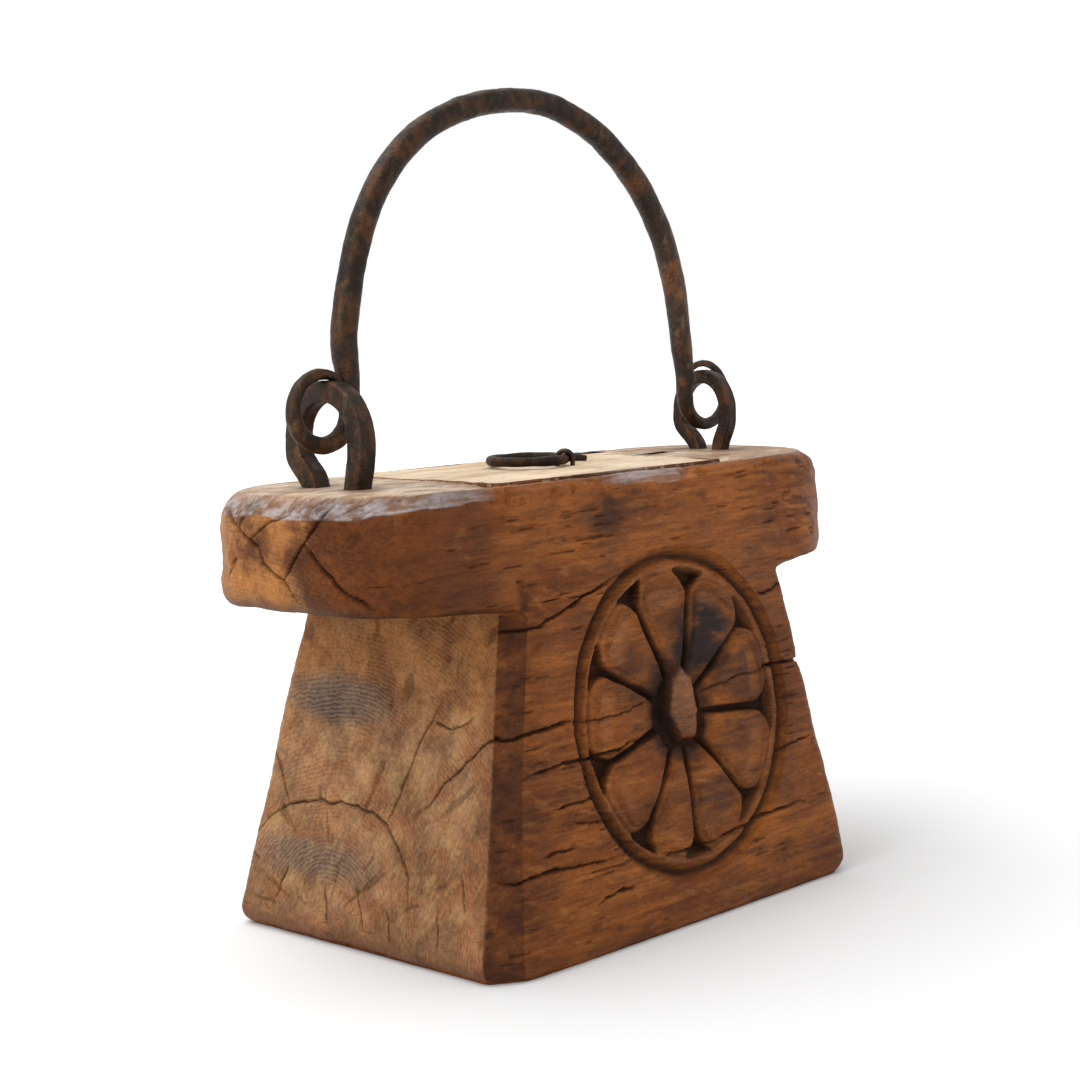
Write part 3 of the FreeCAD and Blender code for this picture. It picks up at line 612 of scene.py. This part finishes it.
moved = rows + normal * (move - carve - sink * side - 1.6 * stop)[..., None]
moved[..., 2] -= top_hollow + dish + top_checks + MORTISE_DEEP * mortises
edge = bell(Z - 171, 8) * (1 - above) * outer
nick = (step(0.12, 0.5, fbm(X / 10, Y / 10, Z / 7, 64, 3))
        + 0.5 * step(0.2, 0.5, fbm(X / 3.5, Y / 3.5, Z / 9, 65, 2)))
moved -= normal * (1.5 * edge * nick)[..., None]
chip = spot(Z, X, 91, 92, 3.2, 10, 0.4) * step(0.2, 0.6, NX) * (Y < -45)
moved[..., 0] -= 2.0 * chip
moved[..., 2] = np.where(Z < 0.5, 0, np.maximum(moved[..., 2], 0))

# colours of the carved front, the end grain, the head's left end and the bare top
n_big = fbm(X / 45, Y / 40, Z / 32, 71, 3)
n_mid = fbm(X / 18, Y / 9, Z / 8, 72, 3)
n_streak = fbm(X / 30, Y / 2.4, Z / 2.0, 73, 3)
n_fine = fbm(X / 7, Y / 3.2, Z / 3.0, 75, 4)
n_fleck = fbm(X / 5, Y / 1.2, (Z + 0.25 * X) / 1.5, 80, 3)
red_brown = mix(tint(131, 73, 26), tint(94, 47, 15), step(-0.45, 0.55, n_big + 0.3 * n_mid + 0.3 * n_fine))
red_brown = mix(red_brown, tint(148, 89, 37), 0.55 * step(-0.05, 0.55, n_streak + 0.4 * n_fine))
red_brown = mix(red_brown, tint(168, 114, 66), 0.25 * step(0.25, 0.6, n_fleck + 0.4 * n_big))
red_brown = mix(red_brown, tint(64, 33, 17), 0.45 * step(0.22, 0.6, n_fine - 0.3 * n_streak))
n_end = fbm(X / 9, Y / 8, Z / 8, 77, 5, 0.62)
n_scratch = fbm(X / 2, (Y + 0.5 * Z) / 1.1, (Z - 0.6 * Y) / 5.5, 79, 3)
end_wood = mix(tint(150, 112, 78), tint(112, 74, 46), step(-0.6, 0.6, n_end + 0.5 * n_big + 0.5 * n_scratch))
end_wood = mix(end_wood, tint(176, 140, 86), 0.4 * step(-0.05, 0.5, n_scratch - 0.35 * n_end + 0.3 * n_big))
end_wood = mix(end_wood, tint(140, 84, 48), 0.5 * step(-0.1, 0.45, n_mid - 0.3 * n_scratch))
end_wood = mix(end_wood, tint(152, 98, 46), 0.65 * step(72, 116, Z))
end_wood = mix(end_wood, tint(92, 54, 28), 0.45 * step(0.0, 0.45, n_mid + 0.5 * n_end) * step(66, 104, Z))
end_wood = mix(end_wood, tint(92, 56, 34), 0.55 * step(-58, -72, A + 4 * n_mid) * step(60, 20, Z))
head_dark = n_end + 0.5 * n_big + 0.95 * step(0, 46, A) - 0.25
head_left = mix(tint(150, 98, 50), tint(88, 45, 14), step(-0.4, 0.4, head_dark))
head_pale = step(-0.05, 0.5, n_scratch - 0.4 * n_end) * step(20, -30, A)
head_left = mix(head_left, tint(172, 128, 80), 0.4 * head_pale)
head_left = mix(head_left, tint(62, 32, 14), 0.5 * step(0.0, 0.5, n_mid + 0.4 * n_end) * step(-15, 30, A))
end_wood = mix(end_wood, tint(98, 58, 34), 0.6 * step(17, 3, Z + 5 * n_mid))
end_wood = mix(end_wood, tint(104, 62, 36), 0.5 * step(9, 1, 66 - 0.12 * Z - A + 4 * n_mid))
end_share = step(0.5, 0.8, np.abs(NX)) * (Z < NECK + 2)
head_share = step(70, 96, -X) * step(NECK - 2, NECK + 3, Z)
colour = mix(red_brown, end_wood, end_share)
colour = mix(colour, head_left, head_share * 0.9)
# painted shade: a darker band on the front beside the flat corner strip
strip_edge = STRIP_WIDE - (BASE_HALF_LENGTH - END_SLOPE * Z)
shade_beside_strip = front * step(13, 0, X - strip_edge) * (Z < NECK)
colour = mix(colour, tint(70, 37, 17), 0.4 * shade_beside_strip * np.clip(0.8 + n_mid, 0, 1))
# the flat corner strip is coloured dark brown, and the same colour in the sunk stop is painted shade in its
# crease
colour = mix(colour, tint(62, 32, 15), strip * np.clip(0.7 + 0.45 * n_mid + 0.4 * n_fine, 0, 1))
grey = np.maximum(spot(A, Z, -27, 91, 27, 9, 0.5), 0.8 * spot(A, Z, -34, 31, 34, 7, 0.6)) * left_end
grey = grey * step(-0.5, 0.2, n_mid + 0.3)
colour = mix(colour, tint(96, 84, 74), 0.75 * grey)
# dark stains on the front, and painted shade in the pit left of the boss
stains_and_painted_shade = np.maximum.reduce([
    1.15 * spot(X, Z, 22, 106, 19, 19, 0.6), 0.9 * spot(X, Z, 1, 93, 13, 20, 0.6),
    0.7 * spot(X, Z, -25, 161, 13, 8, 0.5), 0.55 * spot(X, Z, -20, 143, 8, 5, 0.6),
    0.55 * spot(X, Z, 52, 92, 20, 20, 0.6),
    0.7 * spot(X, Z, 3, 105, 9, 14, 0.6),
    0.55 * spot(X, Z, 14, 44, 20, 10, 0.7), 0.6 * spot(X, Z, -16, 98, 12, 14, 0.7),
    0.5 * spot(X, Z, 40, 62, 14, 16, 0.7), 0.45 * spot(X, Z, 4, 124, 26, 8, 0.7),
    # painted shade in the pit left of the boss, together with stain
    0.95 * spot(X, Z, -3, 81, 7, 14, 0.4),
])
stains_and_painted_shade = stains_and_painted_shade * front * step(-0.75, 0.0, n_mid + 0.5 * n_fine)
colour = mix(colour, tint(20, 16, 16), 0.94 * np.clip(stains_and_painted_shade, 0, 1))
colour = mix(colour, tint(82, 42, 18), 0.5 * spot(X, Z, 66, 82, 16, 44, 0.5) * front)
# painted highlight: lighter colour along the petals' rims and on their scooped crescents
petal_rim_highlight = bell(pad_edge - 1.5, 1.3) * step(24, 34, r) * (r < DISC) * front * (notch_in < 0.1)
colour = mix(colour, tint(158, 104, 66), 0.35 * np.maximum(petal_rim_highlight, front * disc * crescent * pad))
# painted shade: darker colour in the deepest parts of the carving
carve_shade = np.clip(depth / 4.5, 0, 1) * carved
colour = mix(colour, tint(36, 20, 11), 0.9 * step(0.4, 0.95, carve_shade))
# painted highlight along the raised ring round the flower
colour = mix(colour, tint(150, 98, 62), 0.4 * carved * np.clip(ridge / 0.5, 0, 1))
colour = mix(colour, tint(126, 84, 56), 0.75 * front * boss * step(10.5, 8.5, boss_r))
n_top = fbm(X / 14, Y / 6, FLAT, 74, 5, 0.6)
rim_top = mix(tint(192, 172, 148), tint(150, 120, 94), step(-0.4, 0.45, n_top + 0.35 * step(55, 110, X)))
feet = np.maximum.reduce([spot(X, Y, sx, sy, 9, 6, 0.7) for sx in (-STAPLE_X, STAPLE_X) for sy in (-10, 14)])
rim_top = mix(rim_top, tint(96, 70, 52), 0.7 * feet)
rim_top = mix(rim_top, tint(98, 70, 50), 0.7 * step(0.3, 0.6, fbm(X / 6, Y / 1.6, FLAT, 78, 3)))
colour = mix(colour, rim_top, above)
worn_from = 168.3 - 1.8 * step(-120, -134, X)
worn = step(0, 0.6, Z - worn_from + 1.6 * n_mid + 0.5 * n_fine) * (1 - above) * outer
worn_middle = step(-26, -10, X + 8 * n_mid) * step(34, 18, X)
worn = worn * np.maximum(0.85 * step(-74, -112, X + 10 * n_mid), 0.7 * worn_middle)
lilac = mix(tint(150, 143, 142), tint(112, 86, 70), step(-0.35, 0.45, n_streak + 0.6 * n_fine))
colour = mix(colour, lilac, worn)
chips = step(164, 168, Z) * (X < -100) * outer * bell(((A - 1.1 * Z) % 23) - 11.5, 1.0)
colour = mix(colour, tint(58, 40, 30), 0.6 * chips * (1 - 0.5 * above))
# painted shade: cracks and checks coloured dark brown
colour = mix(colour, tint(34, 19, 11), np.clip(crack, 0, 1) * 0.85)
# painted shade on the downward faces under the head
underside_shade = step(-0.3, -0.9, NZ) * outer * (Z > 100)
colour = mix(colour, tint(52, 30, 17), 0.6 * underside_shade)
# painted shade: the empty mortises and their edges coloured nearly black
colour = mix(colour, tint(24, 18, 14), mortise_shade)
colour = mix(colour, tint(96, 62, 42), 1 - outer)
ring_patches = 0.15 + 0.9 * grey + 0.45 * step(0.0, 0.5, n_mid - 0.4 * n_big)
rings = step(0.6, 0.9, np.abs(NX)) * ring_patches + 0.06

block = grid_mesh("carved_block", moved, block_wood)
paint(block, Tone=colour.reshape(-1, 3), Rings=rings.reshape(-1))
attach(block, "box")
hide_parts("box_body")

# ---------------------------------------------------------------- lid
lid_low, lid_high = (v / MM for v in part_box("lid"))
LID_TOP = lid_high.z - 0.5
LID = np.array([57.0, 70.0, 44.0, 38.0])
LID_ROUND = 1.2
LID_CORNERS = (1.5, 1.5, 1.5, 1.5)
LID_COLUMNS = [254, 164, 254, 164] if FINE else [127, 82, 127, 82]


def lid_loop(inset, z):
    """The lid's outline drawn in by an inset, at a height."""
    edge = outline(*(LID - inset), LID_CORNERS)
    return level(np.concatenate([resample(run, count) for run, count in zip(edge, LID_COLUMNS)]), z)


lid_rows = [lid_loop(39 - 38.4 * t, lid_low.z) for t in np.linspace(0, 1, 12)]
lid_rows += [lid_loop(0, z) for z in np.linspace(lid_low.z, LID_TOP - LID_ROUND, 24)]
lid_rows += [lid_loop(LID_ROUND * (1 - math.cos(a)), LID_TOP - LID_ROUND * (1 - math.sin(a)))
             for a in np.linspace(0, 1.5, 7)[1:]]
lid_rows += [lid_loop(LID_ROUND + 37.8 * t, LID_TOP) for t in np.linspace(0, 1, 90)[1:]]
lid_rows = np.array(lid_rows)
lx, ly, lz = (lid_rows[..., k] for k in range(3))
lid_up = step(0.5, 0.9, grid_normals(lid_rows)[..., 2]) * (lz > lid_high.z - 4)
lid_moved = lid_rows.copy()
lid_dish = 0.2 + 1.4 * step(-24, -44, ly)
lid_checks = step(0.5, 0.66, fbm(lx / 26, ly / 1.3, 0 * lx, 81, 2))
lid_moved[..., 2] -= lid_up * (lid_dish + 0.35 * fbm(lx / 14, ly / 9, 0 * lx, 82, 3) + 0.5 * lid_checks)
lid_grain = fbm(lx / 30, ly / 8, 0 * lx, 83, 4)
lid_colour = mix(tint(206, 186, 160), tint(184, 156, 126), step(-0.4, 0.6, lid_grain))
# painted shade: the lid's checks coloured darker
lid_colour = mix(lid_colour, tint(120, 92, 68), 0.8 * lid_checks)
lid_colour = mix(tint(126, 76, 50), lid_colour, lid_up)
specks = step(0.62, 0.75, fbm(lx / 2.2, ly / 1.4, 0 * lx, 84, 2))
lid_colour = mix(lid_colour, tint(110, 80, 58), 0.7 * specks)
lid_piece = grid_mesh("lid_panel", lid_moved, lid_wood)
paint(lid_piece, Tone=lid_colour.reshape(-1, 3), Rings=np.full(lx.size, 0.2))
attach(lid_piece, "lid")
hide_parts("lid")


# ---------------------------------------------------------------- iron
def iron_tone(points, seed):
    """Dark forged iron with brown rust patches and a few lighter rubbed spots."""
    x, y, z = points[..., 0], points[..., 1], points[..., 2]
    rust = step(-0.15, 0.45, fbm(x / 5, y / 5, z / 7, seed, 5, 0.65))
    rub = step(0.12, 0.5, fbm(x / 3, y / 3, z / 6, seed + 5, 4, 0.6))
    tone = mix(tint(50, 41, 35), tint(100, 64, 38), 0.65 * rust)
    tone = mix(tone, tint(112, 92, 66), 0.35 * rub)
    high = step(205, 235, z)[..., None]
    return tone * (1 - 0.3 * high * step(70, 20, x)[..., None] + 0.45 * high * step(70, 88, x)[..., None])


def forged_bar(name, path, halves, square, body, nodes, seed, hammer, up=(0, 1, 0), sides=32):
    """A bar swept along a path, dented by the hammer's depth in mm.

    halves: half width and half depth, one value or one per path point. square: 0 round to 1 square.
    """
    tangent = np.gradient(path, axis=0)
    tangent /= np.linalg.norm(tangent, axis=1, keepdims=True)
    one = np.cross(up, tangent)
    one /= np.linalg.norm(one, axis=1, keepdims=True)
    two = np.cross(tangent, one)
    angle = np.arange(sides) * 2 * np.pi / sides
    c, s = np.cos(angle), np.sin(angle)
    grow = (1 - square) + square * np.minimum(1 / np.maximum(np.abs(c), np.abs(s)), 1.31)
    half_width, half_depth = (np.broadcast_to(half, len(path))[:, None] for half in halves)
    bar = (path[:, None] + one[:, None] * (half_width * grow * c)[..., None]
           + two[:, None] * (half_depth * grow * s)[..., None])
    out = bar - path[:, None]
    out /= np.linalg.norm(out, axis=-1, keepdims=True)
    x, y, z = bar[..., 0], bar[..., 1], bar[..., 2]
    dents = fbm(x / 7, y / 7, z / 9, seed, 3) + 0.4 * fbm(x / 2.2, y / 2.2, z / 3, seed + 3, 2)
    bar = bar + out * (hammer * dents - 0.2 * hammer)[..., None]
    piece = grid_mesh(name, bar, forged_iron)
    paint(piece, Tone=iron_tone(bar, seed + 9).reshape(-1, 3))
    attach(piece, body)
    if nodes:
        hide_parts(*nodes)


LEAN = math.tan(math.radians(1.2))
PIVOT_Y, PIVOT_Z = 3.5, 191.0
PATH = 260


def in_bail_plane(points):
    """Points of the bail's own plane as x, height and sideways drift, in part coordinates."""
    x, height, drift = np.asarray(points, float).T
    return np.stack([x, PIVOT_Y + (height - PIVOT_Z) * LEAN + drift, height], -1)


def curl(cx, cz, rx, rz, start, stop, steps, drift):
    """A curled eye from angle start to stop, with its end drifting sideways."""
    t = np.linspace(0, 1, steps)
    angle = np.radians(start + (stop - start) * t)
    return np.stack([cx + rx * np.cos(angle), cz + rz * np.sin(angle), drift * t], -1)


LEFT_EYE = curl(-111.0, 201.8, 13.6, 12.8, 0, -318, 12, -1.2)
RIGHT_EYE = curl(108.6, 197.4, 14.2, 13.0, 180, 180 + 318, 12, 1.5)
BEND = [(-97.6, 214), (-98.5, 226), (-96.2, 239), (-91.2, 256.5), (-82.8, 275), (-70.8, 290.5),
        (-56.8, 301.6), (-43, 308.6), (-26, 314), (-8, 316.6), (9, 316.8), (25, 313.6), (45, 305.2),
        (60.5, 293.6), (72.4, 281.5), (83, 264.5), (90, 243.5), (93, 222), (94.4, 208)]
bail_points = np.concatenate([LEFT_EYE[::-1], [(x, height, 0) for x, height in BEND], RIGHT_EYE])
bail_path = smooth_path(in_bail_plane(bail_points), 900 if FINE else 400)
run = np.concatenate([[0], np.cumsum(np.linalg.norm(np.diff(bail_path, axis=0), axis=1))])
from_left, from_right = run, run[-1] - run
left_bar = np.interp(from_left, [0, 12, 40, 70, 95, 125], [1.5, 2.1, 3.0, 3.6, 4.95, 5.0])
right_bar = np.interp(from_right, [0, 12, 40, 66, 95, 125], [1.2, 1.5, 2.1, 3.0, 4.3, 4.8])
rod = np.minimum(np.minimum(left_bar, right_bar), 4.9)
forged_bar("bail_rod", bail_path, (rod, rod), 0.15, "bail", ["bail_handle"], 101, 0.28, sides=40)


def staple_path(x, half, foot, crown, drop, lean):
    """Inverted U in the y-z plane, its legs closing in towards the wood."""
    t = np.radians(np.linspace(0, 180, 15))
    arch = [(x, PIVOT_Y + half * np.cos(a), PIVOT_Z + crown * np.sin(a)) for a in t]
    back_leg, front_leg = (
        [(x, PIVOT_Y + way * half * 0.97, PIVOT_Z - 7), (x, way * foot + lean, TOP + 1),
         (x, way * foot * 0.9 + lean, TOP - drop)] for way in (1, -1))
    return smooth_path(back_leg[::-1] + arch + front_leg, PATH)


STAPLE_DROP = 9
left = staple_path(-STAPLE_X, 16.8, 11.6, 17.4, STAPLE_DROP, 1.0)
forged_bar("left_staple_bar", left, (4.0, 3.9), 0.95, "box", ["left_staple"], 131, 0.35,
           up=(1, 0, 0), sides=48)
right = staple_path(STAPLE_X, 12.4, 6.4, 13.9, STAPLE_DROP, 1.4)
forged_bar("right_staple_bar", right, (2.95, 2.95), 0.95, "box", ["right_staple"], 141, 0.3,
           up=(1, 0, 0), sides=48)

ring_low, ring_high = (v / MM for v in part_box("pull_ring"))
ring_c = (ring_low + ring_high) / 2
RING_RADIUS, RING_BAR = 14.6, 1.9
turn = np.linspace(0, 2 * np.pi, 241)[:-1, None]
angle = np.arange(24) * 2 * np.pi / 24
ring_bar = RING_BAR * (1 + 0.05 * np.sin(3 * turn) + 0.04 * np.cos(7 * turn))
reach = RING_RADIUS + ring_bar * np.cos(angle)
ring_points = np.stack([ring_c.x + reach * np.cos(turn), ring_c.y + reach * np.sin(turn),
                        ring_c.z + ring_bar * np.sin(angle)], -1)
ring_points = np.concatenate([ring_points, ring_points[:1]])
ring_piece = grid_mesh("finger_ring", ring_points, forged_iron, caps=False)
paint(ring_piece, Tone=(iron_tone(ring_points, 151) * 0.55).reshape(-1, 3))
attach(ring_piece, "ring")
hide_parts("pull_ring")

# the pin: a strap looped over the ring, through the lid and clenched outwards beneath it
PIN_X, PIN_Y, LEG = 1.5, -11.0, 3.1
HEADING = math.radians(43)
bar_line = np.array([math.cos(HEADING), math.sin(HEADING), 0])
over = np.array([-math.sin(HEADING), math.cos(HEADING), 0])
pin_at = np.array([PIN_X, PIN_Y, ring_c.z])
under_lid = lid_low.z - ring_c.z - 0.75
hoop_side = [(10.9, under_lid), (7.5, under_lid), (4.2, under_lid), (LEG, under_lid + 1.1),
             (LEG, under_lid + 4.4), (LEG, -8.0), (LEG, -4.0)]
hoop_side += [(LEG * math.cos(a), LEG * math.sin(a)) for a in np.linspace(0, math.pi / 2, 7)]
hoop = [pin_at + over * u + np.array([0, 0, v]) for u, v in hoop_side]
hoop += [pin_at - over * u + np.array([0, 0, v]) for u, v in hoop_side[-2::-1]]
forged_bar("ring_pin_hoop", smooth_path(hoop, PATH), (1.0, 2.3), 0.5, "lid", ["ring_pin"], 161, 0.15,
           up=bar_line, sides=24)
tail = smooth_path(pin_at + np.array([(1.5, 0.5, 0.4), (5.5, -0.5, 0.2), (10, -2, -0.4)]), 40)
taper = np.linspace(1.9, 1.3, len(tail))
forged_bar("ring_pin_tail", tail, (taper, taper), 0.3, "lid", [], 163, 0.2, up=(0, 0, 1), sides=20)

# ---------------------------------------------------------------- stage
FLOOR_SIZE, FLOOR_DROP = 12.0, 0.0002
bpy.ops.mesh.primitive_plane_add(size=FLOOR_SIZE, location=(0, 0, -FLOOR_DROP))
floor = bpy.context.object
floor.name = "floor"
# the floor glows white away from the box, so only the box's own shadow shows on it
floor_material, floor_tree, floor_shader = node_tree("floor")
floor_shader.inputs["Base Color"].default_value = (0.70, 0.70, 0.70, 1)
floor_shader.inputs["Emission Color"].default_value = (1, 1, 1, 1)
away = add(floor_tree, "ShaderNodeVectorMath", {0: add(floor_tree, "ShaderNodeTexCoord").outputs["Object"]},
           operation="LENGTH").outputs["Value"]
floor_tree.links.new(ramp(floor_tree, away, 0.18, 1.0, 0.0, 0.55), floor_shader.inputs["Emission Strength"])
floor_shader.inputs["Roughness"].default_value = 0.9
floor_shader.inputs["Specular IOR Level"].default_value = 0.1
floor.data.materials.append(floor_material)

world = bpy.data.worlds.new("studio")
world.use_nodes = True
world.node_tree.nodes["Background"].inputs["Color"].default_value = (1, 1, 1, 1)
world.node_tree.nodes["Background"].inputs["Strength"].default_value = 1.0
bpy.context.scene.world = world


def softbox(name, place, size, power):
    """A rectangular area light aimed at the middle of the box; metres and watts."""
    light = bpy.data.lights.new(name, "AREA")
    light.shape = "RECTANGLE"
    light.size, light.size_y = size
    light.energy = power
    obj = bpy.data.objects.new(name, light)
    obj.location = place
    obj.rotation_euler = (Vector((0, 0, 0.12)) - Vector(place)).to_track_quat("-Z", "Y").to_euler()
    bpy.context.scene.collection.objects.link(obj)


softbox("overhead", (-0.35, 0.35, 1.3), (1.4, 1.0), 13)
softbox("left_window", (-1.5, -0.1, 0.75), (0.8, 0.9), 9)

# the camera of the photograph, fitted to it: angles in degrees, lens in mm, lengths in metres
AZIMUTH, PITCH, ROLL, LENS = -46.7, 6.1, -1.6, 71.55
AIM, DISTANCE = (-0.0023, 0, 0.1445), 0.8526
camera_data = bpy.data.cameras.new("camera")
camera_data.sensor_width = 36
camera_data.lens = LENS
camera = bpy.data.objects.new("camera", camera_data)
azimuth, pitch, roll = (math.radians(v) for v in (AZIMUTH, PITCH, ROLL))
back = Vector((math.sin(azimuth) * math.cos(pitch), -math.cos(azimuth) * math.cos(pitch), math.sin(pitch)))
across = (-back).cross(Vector((0, 0, 1))).normalized()
upward = across.cross(-back).normalized()
across, upward = (across * math.cos(roll) + upward * math.sin(roll),
                  upward * math.cos(roll) - across * math.sin(roll))
turned = Matrix((across, upward, back)).transposed().to_4x4()
turned.translation = Vector(AIM) + back * DISTANCE
camera.matrix_world = turned
bpy.context.scene.collection.objects.link(camera)
bpy.context.scene.camera = camera
bpy.context.scene.view_settings.view_transform = "Standard"
